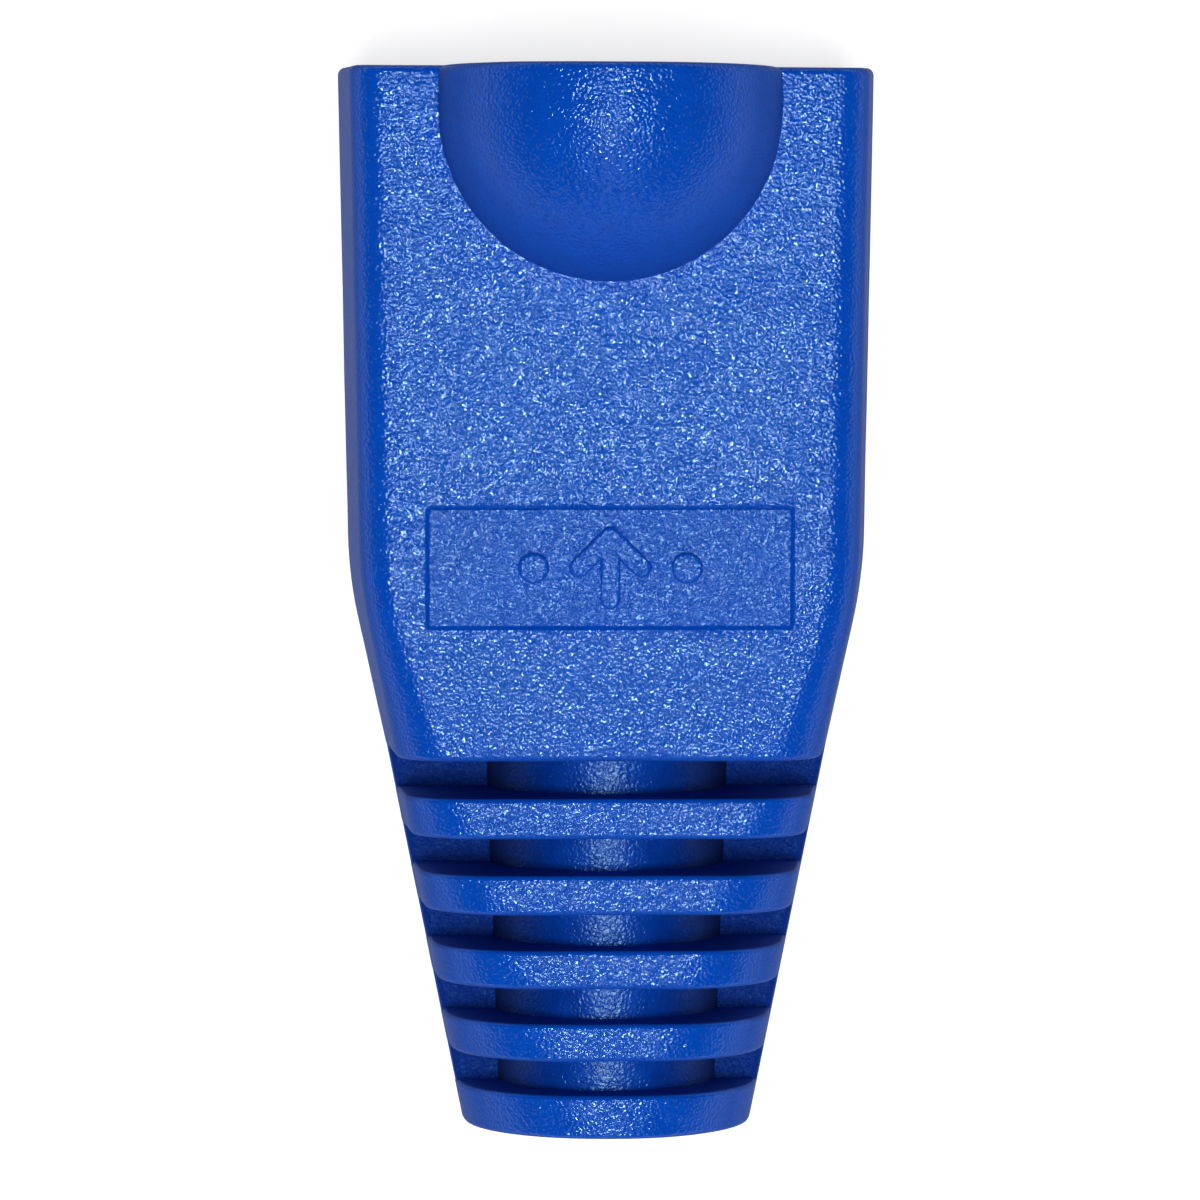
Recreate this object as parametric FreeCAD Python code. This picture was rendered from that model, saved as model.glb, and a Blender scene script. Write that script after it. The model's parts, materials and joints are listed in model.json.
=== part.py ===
import FreeCAD
import Part
import math
import os

# Strain relief boot for an RJ45 patch cord: one soft moulded piece that slides over the cable and
# over the rear half of the plug. It lies on its flat back, front face up.
#
# Frame, in millimetres: X across the boot, Y along the cable with the mouth at +Y and the tail
# at -Y, Z up from the back face. The origin is under the middle of the boot, on the back face.
# "Depth" is measured along the cable, from the mouth towards the tail. "Height" in a cross
# section is measured from the cable axis, forwards (+Z) or backwards (-Z).

# Overall outline. Each width is the full width at the mould's parting plane, on the cable axis.
boot_length = 27.60208
mouth_width = 14.0
knee_width = 13.54
body_end_width = 11.5
tail_end_width = 7.54
axis_height = 5.15
mouth_front_height = 5.3
knee_front_height = 5.12
body_end_front_height = 4.6
tail_end_height = 3.77
side_draft = 5.0

# The body runs straight to the knee, bends through it, and tapers to its end above the ribs.
knee_start_depth = 12.1
knee_end_depth = 14.4
body_end_depth = 17.77
knee_section_count = 6

# Rounding of the long edges, in cross section.
body_corner_radius = 0.9
body_end_corner_radius = 1.4
tail_end_corner_radius = 3.6
fullest_corner_share = 0.96

# Rounding of the edges that run round a section.
mouth_edge_radius = 0.2
body_end_edge_radius = 0.15
rib_edge_radius = 0.12
edge_share_of_rib = 0.4
rim_step_count = 2

# Ribs of the flexible tail. Gaps and ribs get shorter towards the tail end by one ratio, and the
# last rib has a length of its own. Together they fill the tail, from the end of the body to the
# end of the boot: if another size changes the tail's length, they share it in these proportions.
rib_count = 5
first_gap_length = 0.965
first_rib_length = 1.045
last_rib_length = 1.14
rib_shrink = 0.98

# Between the ribs run a round tube about the bore and a flat spine on each side of it.
tube_start_radius = 3.24
tube_end_radius = 2.88
spine_thickness = 1.2
spine_inset = 0.025
spine_edge_radius = 0.25

# Hollow dome over the latch of the plug, open at the mouth.
dome_radius = 4.34
dome_straight_length = 1.2
dome_sink = 0.15
dome_wall = 1.0

# The plug, the cable and their room inside.
plug_width = 11.7
plug_height = 8.2
plug_corner_radius = 0.4
plug_clearance = 0.05
plug_seat_depth = 12.0
plug_shoulder = 0.7
funnel_corner_radius = 1.6
funnel_end_depth = 17.0
cable_diameter = 4.9
cable_clearance = 0.05
mouth_lead_in = 0.25
tail_lead_in = 0.2

# Panel on the front face: a fine groove round a raised arrow that points at the plug.
panel_width = 9.38
panel_length = 3.19
panel_start_depth = 11.2
panel_corner_radius = 0.15
least_corner_share = 0.3
groove_width = 0.1
groove_depth = 0.08
mark_height = 0.12
mark_stroke = 0.5
arrow_length = 2.1
arrow_head_reach = 0.8
mark_dot_spacing = 1.95
mark_dot_diameter = 0.8

# Small overlap that lets cutting tools run past the faces they cut.
tool_overrun = 1.0

node_name = "strain_relief_boot"


def rib_spans():
    """Start and end depth of each rib. The last one ends with the boot."""
    gap_lengths = []
    rib_lengths = []
    for index in range(rib_count):
        shrink = rib_shrink ** index
        gap_lengths.append(first_gap_length * shrink)
        rib_lengths.append(last_rib_length if index == rib_count - 1 else first_rib_length * shrink)
    fit = (boot_length - body_end_depth) / (sum(gap_lengths) + sum(rib_lengths))
    spans = []
    depth = body_end_depth
    for gap_length, rib_length in zip(gap_lengths, rib_lengths):
        start = depth + gap_length * fit
        depth = start + rib_length * fit
        spans.append((start, depth))
    return spans


def place(x, depth, height):
    """A point given across the boot, along it from the mouth, and from the cable axis."""
    return FreeCAD.Vector(x, boot_length / 2.0 - depth, axis_height + height)


def between(depth, start_depth, end_depth, start_value, end_value):
    """The value on a straight line, held level outside its two ends."""
    share = (depth - start_depth) / (end_depth - start_depth)
    share = min(max(share, 0.0), 1.0)
    return start_value + share * (end_value - start_value)


def bend_run(depth):
    """How far a depth lies past the knee, when the knee is a parabola and not a corner."""
    knee_length = knee_end_depth - knee_start_depth
    if depth <= knee_start_depth:
        return 0.0
    if depth >= knee_end_depth:
        return depth - (knee_start_depth + knee_end_depth) / 2.0
    return (depth - knee_start_depth) ** 2 / (2.0 * knee_length)


def body_profile(depth, mouth_value, knee_value, body_end_value, tail_end_value):
    """A half width or a height of the outside: straight, knee, straight, then the tail's taper."""
    if depth > body_end_depth:
        return between(depth, body_end_depth, boot_length, body_end_value, tail_end_value)
    first_slope = (knee_value - mouth_value) / knee_start_depth
    unbent_end = mouth_value + first_slope * body_end_depth
    extra_slope = (body_end_value - unbent_end) / bend_run(body_end_depth)
    return mouth_value + first_slope * depth + extra_slope * bend_run(depth)


def half_width_at(depth):
    return body_profile(
        depth,
        mouth_width / 2.0,
        knee_width / 2.0,
        body_end_width / 2.0,
        tail_end_width / 2.0,
    )


def front_height_at(depth):
    return body_profile(
        depth,
        mouth_front_height,
        knee_front_height,
        body_end_front_height,
        tail_end_height,
    )


def back_height_at(depth):
    """The back stays flat along the whole body, and only the tail rises from it."""
    return between(depth, body_end_depth, boot_length, axis_height, tail_end_height)


def corner_radius_at(depth):
    if depth > body_end_depth:
        return between(
            depth,
            body_end_depth,
            boot_length,
            body_end_corner_radius,
            tail_end_corner_radius,
        )
    return between(
        depth,
        knee_end_depth,
        body_end_depth,
        body_corner_radius,
        body_end_corner_radius,
    )


def corner_points(half_width, height, radius, draft):
    """Start, middle and end of one corner's arc, for the side and face that it joins.

    The side leaves the parting plane at the half width and leans inwards by the draft. Heights
    here are positive, and the caller mirrors the points to the other three corners.
    """
    radius = min(radius, fullest_corner_share * min(half_width, height))
    lean = math.radians(draft)
    centre_height = height - radius
    centre_x = half_width - centre_height * math.tan(lean) - radius / math.cos(lean)
    points = []
    for angle in (lean, (lean + math.pi / 2.0) / 2.0, math.pi / 2.0):
        x = centre_x + radius * math.cos(angle)
        z = centre_height + radius * math.sin(angle)
        points.append((x, z))
    return points


def section(depth, half_width, front_height, back_height, radius, draft):
    """A closed cross section with four rounded corners, starting at the parting plane."""
    front = corner_points(half_width, front_height, radius, draft)
    back = corner_points(half_width, back_height, radius, draft)
    front_right = [place(x, depth, z) for x, z in front]
    front_left = [place(-x, depth, z) for x, z in reversed(front)]
    back_left = [place(-x, depth, -z) for x, z in back]
    back_right = [place(x, depth, -z) for x, z in reversed(back)]
    right = place(half_width, depth, 0.0)
    left = place(-half_width, depth, 0.0)
    edges = []
    last = right
    for corner, waypoint in (
        (front_right, None),
        (front_left, left),
        (back_left, None),
        (back_right, right),
    ):
        edges.append(Part.makeLine(last, corner[0]))
        edges.append(Part.Arc(corner[0], corner[1], corner[2]).toShape())
        last = corner[2]
        if waypoint is not None:
            edges.append(Part.makeLine(last, waypoint))
            last = waypoint
    return Part.Wire(edges)


def outer_section(depth, face_inset=0.0):
    """The outside at a depth, with the front face lowered by an inset, or raised by a minus."""
    return section(
        depth,
        half_width_at(depth),
        front_height_at(depth) - face_inset,
        back_height_at(depth),
        corner_radius_at(depth),
        side_draft,
    )


def narrowed_section(depth, inset):
    """The outside at a depth, drawn in by one inset all round."""
    return section(
        depth,
        half_width_at(depth) - inset,
        front_height_at(depth) - inset,
        back_height_at(depth) - inset,
        corner_radius_at(depth) - inset,
        side_draft,
    )


def straight_loft(sections):
    return Part.makeLoft(sections, True, True)


def smooth_loft(sections):
    return Part.makeLoft(sections, True, False)


def end_edges(solid, depth):
    """The edges of a solid that lie wholly in one cross plane."""
    plane_y = place(0.0, depth, 0.0).y
    near = 1.0e-4
    chosen = []
    for edge in solid.Edges:
        box = edge.BoundBox
        if abs(box.YMin - plane_y) < near and abs(box.YMax - plane_y) < near:
            chosen.append(edge)
    return chosen


def depths_through_knee():
    knee_length = knee_end_depth - knee_start_depth
    steps = knee_section_count - 1
    return [knee_start_depth + knee_length * step / steps for step in range(knee_section_count)]


def body_block(face_inset=0.0):
    """The solid outside of the body, from the mouth to the first gap."""
    knee_depths = depths_through_knee()
    front = straight_loft([outer_section(d, face_inset) for d in (0.0, knee_start_depth)])
    knee = smooth_loft([outer_section(d, face_inset) for d in knee_depths])
    rear = straight_loft([outer_section(d, face_inset) for d in (knee_end_depth, body_end_depth)])
    return front.fuse([knee, rear]).removeSplitter()


def body():
    block = body_block()
    block = block.makeFillet(mouth_edge_radius, end_edges(block, 0.0))
    return block.makeFillet(body_end_edge_radius, end_edges(block, body_end_depth))


def rim_steps(radius):
    """A quarter round in a few steps: how far along from the rim's face, and how far in."""
    steps = []
    for step in range(rim_step_count + 1):
        turn = math.pi / 2.0 * step / rim_step_count
        steps.append((radius * (1.0 - math.cos(turn)), radius * (1.0 - math.sin(turn))))
    return steps


def rib(start_depth, end_depth):
    """One rib as a full slice of the tail. Both rims are rounded by drawing sections in."""
    radius = min(rib_edge_radius, edge_share_of_rib * (end_depth - start_depth))
    start_rim = [narrowed_section(start_depth + along, inset) for along, inset in rim_steps(radius)]
    end_rim = [narrowed_section(end_depth - along, inset) for along, inset in rim_steps(radius)]
    return straight_loft(start_rim + end_rim[::-1])


def last_rib_middle():
    start, end = rib_spans()[-1]
    return (start + end) / 2.0


def tail_core_start():
    """The core of the tail starts inside the body, where its end edge is still full."""
    return body_end_depth - first_gap_length


def tail_tube():
    """The round tube about the bore, from inside the body to inside the last rib."""
    start = tail_core_start()
    length = last_rib_middle() - start
    toward_tail = FreeCAD.Vector(0, -1, 0)
    return Part.makeCone(
        tube_start_radius,
        tube_end_radius,
        length,
        place(0.0, start, 0.0),
        toward_tail,
    )


def spine_section(depth):
    half_thickness = spine_thickness / 2.0
    return section(
        depth,
        half_width_at(depth) - spine_inset,
        half_thickness,
        half_thickness,
        spine_edge_radius,
        0.0,
    )


def side_spines():
    """One flat bar across the tail: its two edges are the spines beside the tube."""
    return straight_loft([spine_section(body_end_depth), spine_section(last_rib_middle())])


def dome_solid(radius, edge_radius):
    """A round bar with a spherical end, lying along the boot. Its mouth edge is rounded."""
    centre_height = mouth_front_height - dome_sink
    dome_end = dome_straight_length + radius
    half_turn = math.sqrt(0.5)

    def at(depth, offset):
        return place(0.0, depth, centre_height + offset)

    arc_middle_depth = dome_straight_length + radius * half_turn
    outline = [
        Part.makeLine(at(0.0, 0.0), at(0.0, radius - edge_radius)),
        Part.Arc(
            at(0.0, radius - edge_radius),
            at(edge_radius * (1.0 - half_turn), radius - edge_radius * (1.0 - half_turn)),
            at(edge_radius, radius),
        ).toShape(),
        Part.makeLine(at(edge_radius, radius), at(dome_straight_length, radius)),
        Part.Arc(
            at(dome_straight_length, radius),
            at(arc_middle_depth, radius * half_turn),
            at(dome_end, 0.0),
        ).toShape(),
        Part.makeLine(at(dome_end, 0.0), at(0.0, 0.0)),
    ]
    face = Part.Face(Part.Wire(outline))
    return face.revolve(at(0.0, 0.0), FreeCAD.Vector(0, 1, 0), 360.0)


def latch_tunnel():
    """The room under the dome, open at the mouth and into the plug's room below it."""
    radius = dome_radius - dome_wall
    centre_height = mouth_front_height - dome_sink
    toward_tail = FreeCAD.Vector(0, -1, 0)
    start = place(0.0, -tool_overrun, centre_height)
    bar = Part.makeCylinder(radius, dome_straight_length + tool_overrun, start, toward_tail)
    end = Part.makeSphere(radius, place(0.0, dome_straight_length, centre_height))
    lead_in = Part.makeCone(
        radius + mouth_lead_in,
        radius,
        mouth_lead_in,
        place(0.0, 0.0, centre_height),
        toward_tail,
    )
    return bar.fuse([end, lead_in])


def room_section(depth, half_width, half_height, radius):
    return section(depth, half_width, half_height, half_height, radius, 0.0)


def plug_room():
    """The plug's room: a short lead-in, a straight seat, and a funnel down to the bore."""
    half_width = plug_width / 2.0 + plug_clearance
    half_height = plug_height / 2.0 + plug_clearance
    wide = room_section(
        0.0,
        half_width + mouth_lead_in,
        half_height + mouth_lead_in,
        plug_corner_radius + mouth_lead_in,
    )
    narrow = room_section(mouth_lead_in, half_width, half_height, plug_corner_radius)
    lead_in = straight_loft([wide, narrow])
    seat_start = room_section(-tool_overrun, half_width, half_height, plug_corner_radius)
    seat_end = room_section(plug_seat_depth, half_width, half_height, plug_corner_radius)
    seat = straight_loft([seat_start, seat_end])
    funnel_start = room_section(
        plug_seat_depth,
        half_width - plug_shoulder,
        half_height - plug_shoulder,
        funnel_corner_radius,
    )
    bore_radius = cable_diameter / 2.0 + cable_clearance
    funnel_end = room_section(funnel_end_depth, bore_radius, bore_radius, bore_radius)
    funnel = straight_loft([funnel_start, funnel_end])
    return seat.fuse([lead_in, funnel])


def cable_bore():
    """The bore through the tail, with a lead-in where the cable leaves."""
    radius = cable_diameter / 2.0 + cable_clearance
    start = (plug_seat_depth + funnel_end_depth) / 2.0
    length = boot_length + tool_overrun - start
    toward_tail = FreeCAD.Vector(0, -1, 0)
    bore = Part.makeCylinder(radius, length, place(0.0, start, 0.0), toward_tail)
    lead_in = Part.makeCone(
        radius,
        radius + tail_lead_in,
        tail_lead_in,
        place(0.0, boot_length - tail_lead_in, 0.0),
        toward_tail,
    )
    return bore.fuse(lead_in)


def panel_prism(inset):
    """A tall block over the panel, smaller all round by an inset, with rounded corners."""
    radius = max(panel_corner_radius - inset, least_corner_share * panel_corner_radius)
    block = Part.makeBox(
        panel_width - 2.0 * inset,
        panel_length - 2.0 * inset,
        mouth_front_height + tool_overrun,
        place(-panel_width / 2.0 + inset, panel_start_depth + panel_length - inset, 0.0),
    )
    upright = [e for e in block.Edges if e.BoundBox.ZLength > mouth_front_height]
    return block.makeFillet(radius, upright)


def panel_groove():
    """The fine groove round the panel, of one depth all along the bent front face."""
    ring = panel_prism(0.0).cut(panel_prism(groove_width))
    return ring.cut(body_block(groove_depth))


def upright_stroke(x_start, depth_start, x_end, depth_end, width):
    """A tall wall with round ends, standing on the line from one point to another."""
    start = place(x_start, depth_start, 0.0)
    end = place(x_end, depth_end, 0.0)
    along = (end - start).normalize()
    across = FreeCAD.Vector(-along.y, along.x, 0.0) * (width / 2.0)
    cap = along * (width / 2.0)
    edges = [
        Part.makeLine(start + across, end + across),
        Part.Arc(end + across, end + cap, end - across).toShape(),
        Part.makeLine(end - across, start - across),
        Part.Arc(start - across, start - cap, start + across).toShape(),
    ]
    face = Part.Face(Part.Wire(edges))
    return face.extrude(FreeCAD.Vector(0, 0, mouth_front_height + tool_overrun))


def raised_mark():
    """An arrow towards the plug with a dot on each side, raised by one height all over."""
    middle = panel_start_depth + panel_length / 2.0
    half_stroke = mark_stroke / 2.0
    tip = middle - arrow_length / 2.0 + half_stroke
    foot = middle + arrow_length / 2.0 - half_stroke
    strokes = [
        upright_stroke(0.0, tip, 0.0, foot, mark_stroke),
        upright_stroke(0.0, tip, -arrow_head_reach, tip + arrow_head_reach, mark_stroke),
        upright_stroke(0.0, tip, arrow_head_reach, tip + arrow_head_reach, mark_stroke),
    ]
    for side in (-1.0, 1.0):
        centre = place(side * mark_dot_spacing, middle, 0.0)
        height = mouth_front_height + tool_overrun
        strokes.append(Part.makeCylinder(mark_dot_diameter / 2.0, height, centre))
    tall = strokes[0].fuse(strokes[1:])
    return tall.common(body_block(-mark_height))


def build_boot():
    pieces = [rib(start, end) for start, end in rib_spans()]
    pieces.append(tail_tube())
    pieces.append(side_spines())
    outside = body().fuse(pieces)
    outside = outside.fuse(dome_solid(dome_radius, mouth_edge_radius))
    outside = outside.fuse(raised_mark())
    outside = outside.cut(panel_groove())
    boot = outside.cut([plug_room(), latch_tunnel(), cable_bore()])
    return boot.removeSplitter()


boot = build_boot()
solid_count = len(boot.Solids)
print("solids", solid_count, "valid", boot.isValid(), "volume mm3", round(boot.Volume, 2))
print("box", boot.BoundBox)
os.makedirs("parts", exist_ok=True)
boot.Solids[0].exportStep("parts/" + node_name + ".step")
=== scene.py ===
# %% [markdown]
# # A strain relief boot for a patch cord
#
# This lesson builds one small moulded part: the soft PVC boot that covers the rear of an RJ45
# plug and guards the cable where it leaves. It is one piece, with a hollow box for the plug, a
# dome over the latch, and a tail of ribs that lets the cable bend.
#
# The part lies on its flat back. X runs across it, Y along the cable with the mouth at +Y and
# the tail at -Y, and Z up through the dome.

# %% Load the frame
import json
import math
import bmesh
import bpy
from mathutils import Matrix, Vector


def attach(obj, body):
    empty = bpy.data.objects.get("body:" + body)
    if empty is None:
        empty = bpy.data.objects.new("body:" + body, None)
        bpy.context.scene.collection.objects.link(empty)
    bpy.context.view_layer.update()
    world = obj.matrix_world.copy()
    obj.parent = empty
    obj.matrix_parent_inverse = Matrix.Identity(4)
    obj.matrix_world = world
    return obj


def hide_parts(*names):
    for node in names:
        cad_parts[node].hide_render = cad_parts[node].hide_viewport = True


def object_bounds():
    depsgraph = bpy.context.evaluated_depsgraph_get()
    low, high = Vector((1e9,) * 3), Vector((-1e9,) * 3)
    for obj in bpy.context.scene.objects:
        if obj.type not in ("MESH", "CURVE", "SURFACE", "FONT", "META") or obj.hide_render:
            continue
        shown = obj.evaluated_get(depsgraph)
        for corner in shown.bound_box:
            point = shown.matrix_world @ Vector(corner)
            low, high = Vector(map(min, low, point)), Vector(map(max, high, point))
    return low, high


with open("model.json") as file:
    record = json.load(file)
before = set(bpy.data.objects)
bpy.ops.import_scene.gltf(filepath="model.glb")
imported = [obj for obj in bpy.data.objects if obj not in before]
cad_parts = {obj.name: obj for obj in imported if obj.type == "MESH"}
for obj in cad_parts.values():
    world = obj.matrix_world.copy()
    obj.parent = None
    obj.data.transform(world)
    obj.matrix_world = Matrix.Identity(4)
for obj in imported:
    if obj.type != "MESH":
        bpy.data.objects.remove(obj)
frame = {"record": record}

cad_box = [list(corner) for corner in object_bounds()]
print("CAD box, in metres:", cad_box)

# %% [markdown]
# ## Sizes
#
# The part is small, so everything is modelled in millimetres and the finished mesh is scaled to
# metres once, at the end. What the frame knows, such as the length, the bore and the height of
# the cable axis, is read from it. "Depth" is measured from the mouth towards the tail, and
# "height" from the cable axis, as on a maker's drawing.

# %% Sizes in millimetres
MM = 0.001
bore_mount = next(m for m in frame["record"]["mounts"] if m["name"] == "cable_bore")
bore_radius = bore_mount["dims"]["r_mm"]
axis_height = bore_mount["pos_m"][2] / MM
boot_length = (cad_box[1][1] - cad_box[0][1]) / MM

outline_sizes = {
    "Mouth width": (cad_box[1][0] - cad_box[0][0]) / MM,
    "Knee width": 13.54,
    "Body end width": 11.5,
    "Tail end width": 7.54,
    "Mouth front height": 5.3,
    "Knee front height": 5.12,
    "Body end front height": 4.6,
    "Tail end height": 3.77,
    "Axis height": axis_height,
    "Body corner": 0.9,
    "Body end corner": 1.4,
    "Tail end corner": 3.6,
    "Side draft": math.radians(5.0),
    "Knee start": 12.1,
    "Knee end": 14.4,
    "Body end": 17.77,
    "Boot length": boot_length,
}
RIB_COUNT = 5
FIRST_GAP = 0.965
FIRST_RIB = 1.045
LAST_RIB = 1.14
RIB_SHRINK = 0.98
RIM_RADIUS = 0.12
MOUTH_RIM = 0.2
BODY_END_RIM = 0.15
print("length", round(boot_length, 3), "axis height", axis_height, "bore radius", bore_radius)

# %% [markdown]
# ## Formulas that work for numbers and for nodes
#
# The outside of the boot follows a rule: at each depth its cross section has a half width, a
# front and a back height, and a corner radius. The rule is needed twice, once as plain numbers
# and once inside node trees. A small class lets the same formula serve both: adding or
# multiplying two of its values adds a Math node to the tree.

# %% Node arithmetic
class Num:
    """A value in a node tree. Arithmetic on it builds Math nodes."""

    def __init__(self, tree, socket):
        self.tree = tree
        self.socket = socket

    def math(self, operation, *values):
        node = self.tree.nodes.new("ShaderNodeMath")
        node.operation = operation
        for place, value in enumerate(values):
            if isinstance(value, Num):
                self.tree.links.new(value.socket, node.inputs[place])
            else:
                node.inputs[place].default_value = value
        return Num(self.tree, node.outputs[0])

    def __add__(self, other):
        return self.math("ADD", self, other)

    def __radd__(self, other):
        return self.math("ADD", other, self)

    def __sub__(self, other):
        return self.math("SUBTRACT", self, other)

    def __rsub__(self, other):
        return self.math("SUBTRACT", other, self)

    def __mul__(self, other):
        return self.math("MULTIPLY", self, other)

    def __rmul__(self, other):
        return self.math("MULTIPLY", other, self)

    def __truediv__(self, other):
        return self.math("DIVIDE", self, other)

    def __rtruediv__(self, other):
        return self.math("DIVIDE", other, self)


def either(values, operation, plain):
    """Uses a Math node if any value is one, and the plain function otherwise."""
    for value in values:
        if isinstance(value, Num):
            return value.math(operation, *values)
    return plain(*values)


def lowest(a, b):
    return either((a, b), "MINIMUM", min)


def highest(a, b):
    return either((a, b), "MAXIMUM", max)


def clamped(value):
    return lowest(highest(value, 0.0), 1.0)


def sine(angle):
    return either((angle,), "SINE", math.sin)


def cosine(angle):
    return either((angle,), "COSINE", math.cos)


def tangent(angle):
    return either((angle,), "TANGENT", math.tan)


# %% [markdown]
# ## The rule of the outside
#
# The body runs straight from the mouth to a soft knee, then tapers. The knee is a parabola, so
# the slope changes evenly and no crease shows. Past the body's end the tail tapers in a straight
# line to a nearly round end, while the corner radius grows. The back stays flat along the body.

# %% Outline formulas
def share_between(depth, start, end):
    return clamped((depth - start) / (end - start))


def bend_run(size, depth):
    """The length run past the knee, rising as a parabola inside it."""
    knee_length = size["Knee end"] - size["Knee start"]
    inside = lowest(highest(depth - size["Knee start"], 0.0), knee_length)
    beyond = highest(depth - size["Knee end"], 0.0)
    return inside * inside / (2.0 * knee_length) + beyond


def body_profile(size, depth, mouth_value, knee_value, end_value, tail_value):
    first_slope = (knee_value - mouth_value) / size["Knee start"]
    unbent_end = mouth_value + first_slope * size["Body end"]
    extra_slope = (end_value - unbent_end) / bend_run(size, size["Body end"])
    inside = lowest(depth, size["Body end"])
    tail_share = share_between(depth, size["Body end"], size["Boot length"])
    body_value = mouth_value + first_slope * inside + extra_slope * bend_run(size, inside)
    return body_value + (tail_value - end_value) * tail_share


def half_width(size, depth):
    widths = [size[n + " width"] / 2.0 for n in ("Mouth", "Knee", "Body end", "Tail end")]
    return body_profile(size, depth, *widths)


def front_height(size, depth):
    heights = [size[n + " front height"] for n in ("Mouth", "Knee", "Body end")]
    return body_profile(size, depth, *heights, size["Tail end height"])


def back_height(size, depth):
    tail_share = share_between(depth, size["Body end"], size["Boot length"])
    return size["Axis height"] + (size["Tail end height"] - size["Axis height"]) * tail_share


def corner_radius(size, depth):
    body_share = share_between(depth, size["Knee end"], size["Body end"])
    tail_share = share_between(depth, size["Body end"], size["Boot length"])
    radius = size["Body corner"] + (size["Body end corner"] - size["Body corner"]) * body_share
    return radius + (size["Tail end corner"] - size["Body end corner"]) * tail_share


for depth in (0.0, outline_sizes["Knee end"], outline_sizes["Body end"], boot_length):
    print("depth", round(depth, 2), "half width", round(half_width(outline_sizes, depth), 3))

# %% [markdown]
# ## A node group for one rounded slice
#
# The body and every rib are the same thing: a slice of the outside between two depths, with its
# two rims rounded. A Mesh Cylinder gives the vertices in even rings. The group moves each vertex
# to its place: its height in the cylinder says which ring it is in, and its angle says whether
# it lies on the side, on the corner's arc or on the flat face. Because the shares are clamped
# and added, no switch is needed between those three stretches.

# %% Node trees with named inputs
FLOAT = "NodeSocketFloat"
INTEGER = "NodeSocketInt"
VECTOR = "NodeSocketVector"
GEOMETRY = "NodeSocketGeometry"
MATERIAL = "NodeSocketMaterial"


def new_tree(name, kind, inputs, outputs):
    """Makes a node tree and returns it with its input sockets and its output node."""
    tree = bpy.data.node_groups.new(name, kind)
    for title, socket_type, default in inputs:
        socket = tree.interface.new_socket(name=title, in_out="INPUT", socket_type=socket_type)
        if default is not None:
            socket.default_value = default
    for title, socket_type in outputs:
        tree.interface.new_socket(name=title, in_out="OUTPUT", socket_type=socket_type)
    group_in = tree.nodes.new("NodeGroupInput")
    group_out = tree.nodes.new("NodeGroupOutput")
    sockets = {title: group_in.outputs[title] for title, _, _ in inputs}
    return tree, sockets, group_out


def add_node(tree, kind, inputs=None, **properties):
    """Adds a node, sets its properties, and links or sets its inputs by name."""
    node = tree.nodes.new(kind)
    for name, value in properties.items():
        setattr(node, name, value)
    for name, value in (inputs or {}).items():
        socket = node.inputs[name]
        if isinstance(value, Num):
            value = value.socket
        if isinstance(value, bpy.types.NodeSocket):
            tree.links.new(value, socket)
        else:
            socket.default_value = value
    return node


# %% The slice group
SIDE_STEPS = 3
CORNER_STEPS = 12
FACE_STEPS = 9
QUARTER_STEPS = SIDE_STEPS + CORNER_STEPS + FACE_STEPS
RIM_STEPS = 4
LEAST_CORNER = 0.05

slice_inputs = [(name, FLOAT, value) for name, value in outline_sizes.items()]
slice_inputs += [
    ("Start depth", FLOAT, 0.0),
    ("Length", FLOAT, 1.0),
    ("Start rim radius", FLOAT, RIM_RADIUS),
    ("End rim radius", FLOAT, RIM_RADIUS),
    ("Ring count", FLOAT, 11.0),
]
slice_tree, slice_in, slice_out = new_tree(
    "Slice of the boot", "GeometryNodeTree", slice_inputs, [("Position", VECTOR)]
)
size = {name: Num(slice_tree, slice_in[name]) for name, _, _ in slice_inputs}
unit = add_node(slice_tree, "GeometryNodeInputPosition").outputs[0]
unit_parts = add_node(slice_tree, "ShaderNodeSeparateXYZ", {"Vector": unit}).outputs
unit_x, unit_y, unit_z = [Num(slice_tree, socket) for socket in unit_parts]

ring = (unit_z + 0.5) * (size["Ring count"] - 1.0)
quarter_turn = math.pi / 2.0
start_turn = clamped(ring / float(RIM_STEPS)) * quarter_turn
end_ring = size["Ring count"] - 1.0 - RIM_STEPS
end_turn = clamped((ring - end_ring) / float(RIM_STEPS)) * quarter_turn
middle_share = clamped((ring - float(RIM_STEPS)) / (size["Ring count"] - 1.0 - 2.0 * RIM_STEPS))
middle_length = size["Length"] - size["Start rim radius"] - size["End rim radius"]
depth = size["Start depth"] + size["Start rim radius"] * (1.0 - cosine(start_turn))
depth = depth + middle_length * middle_share + size["End rim radius"] * sine(end_turn)
inset = size["Start rim radius"] * (1.0 - sine(start_turn))
inset = inset + size["End rim radius"] * (1.0 - cosine(end_turn))

unit_up = unit_y.math("ABSOLUTE", unit_y)
unit_aside = unit_x.math("ABSOLUTE", unit_x)
turn_in_quarter = unit_y.math("ARCTAN2", unit_up, unit_aside)
step = turn_in_quarter / (quarter_turn / QUARTER_STEPS)
side_share = clamped(step / float(SIDE_STEPS))
corner_share = clamped((step - float(SIDE_STEPS)) / float(CORNER_STEPS))
face_share = clamped((step - float(SIDE_STEPS + CORNER_STEPS)) / float(FACE_STEPS))

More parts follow.
